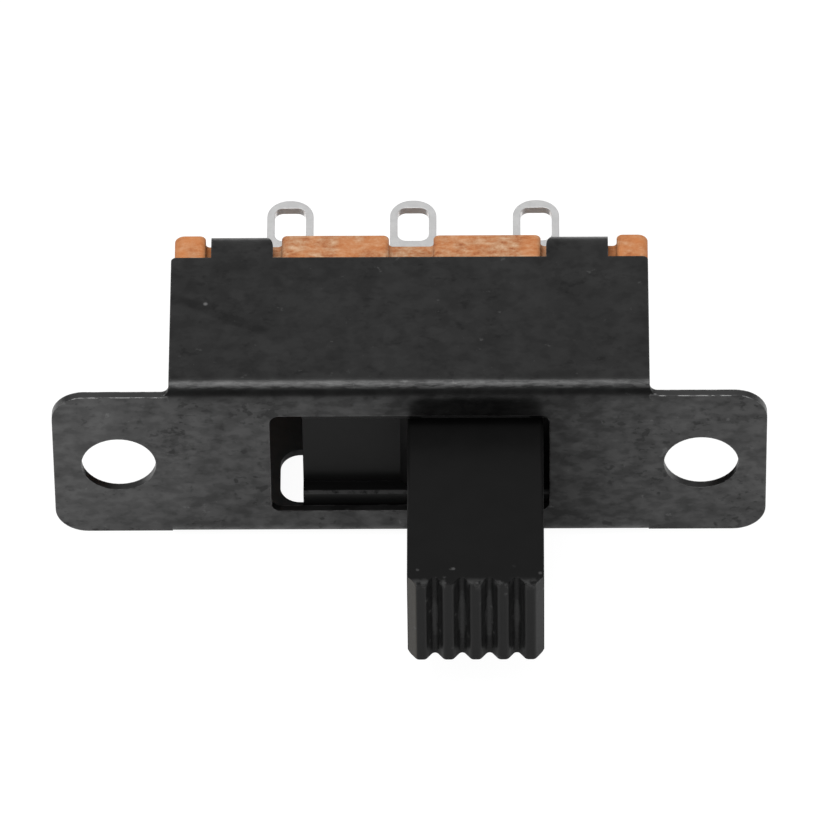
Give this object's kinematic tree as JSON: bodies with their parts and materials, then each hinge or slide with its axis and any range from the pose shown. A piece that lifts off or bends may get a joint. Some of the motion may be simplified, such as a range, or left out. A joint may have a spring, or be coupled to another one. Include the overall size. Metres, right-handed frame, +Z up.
{
  "type": "slide switch",
  "caption": "Panel slide switch with a folded black steel frame, a phenolic terminal board, solder lugs behind and a long ribbed black handle.",
  "frame": {"origin": "middle of the mounting plate's front face, half way between the two mounting holes", "axes": "+X along the travel of the slider, -Y out of the front of the panel along the handle, +Z up, away from the side wall that has the window"},
  "size_m": [0.035, 0.0253, 0.0108],
  "materials": {
    "black_steel": "satin black finish on steel, slightly mottled",
    "phenolic": "orange-brown paper phenolic, fibrous on its cut edges",
    "tinned_lug": "bright tinned metal",
    "contact_brass": "plain brass",
    "black_plastic": "smooth black moulding, satin",
    "contact_bronze": "plain phosphor bronze",
    "spring_steel": "plain spring wire"
  },
  "bodies": {
    "housing": {"frame": "black_steel", "terminal_board": "phenolic", "lug_upper_left": "tinned_lug", "lug_upper_centre": "tinned_lug", "lug_upper_right": "tinned_lug", "lug_lower_left": "tinned_lug", "lug_lower_centre": "tinned_lug", "lug_lower_right": "tinned_lug", "rivet_upper_left": "contact_brass", "rivet_upper_centre": "contact_brass", "rivet_upper_right": "contact_brass", "rivet_lower_left": "contact_brass", "rivet_lower_centre": "contact_brass", "rivet_lower_right": "contact_brass"},
    "slider": {"slider": "black_plastic", "bridge_upper": "contact_bronze", "bridge_lower": "contact_bronze", "spring_upper": "spring_steel", "spring_lower": "spring_steel"}
  },
  "joints": [
    {"name": "slider_travel", "type": "slide", "parent": "housing", "child": "slider", "axis": [1, 0, 0], "range_m": [-0.00645, 0]}
  ]
}
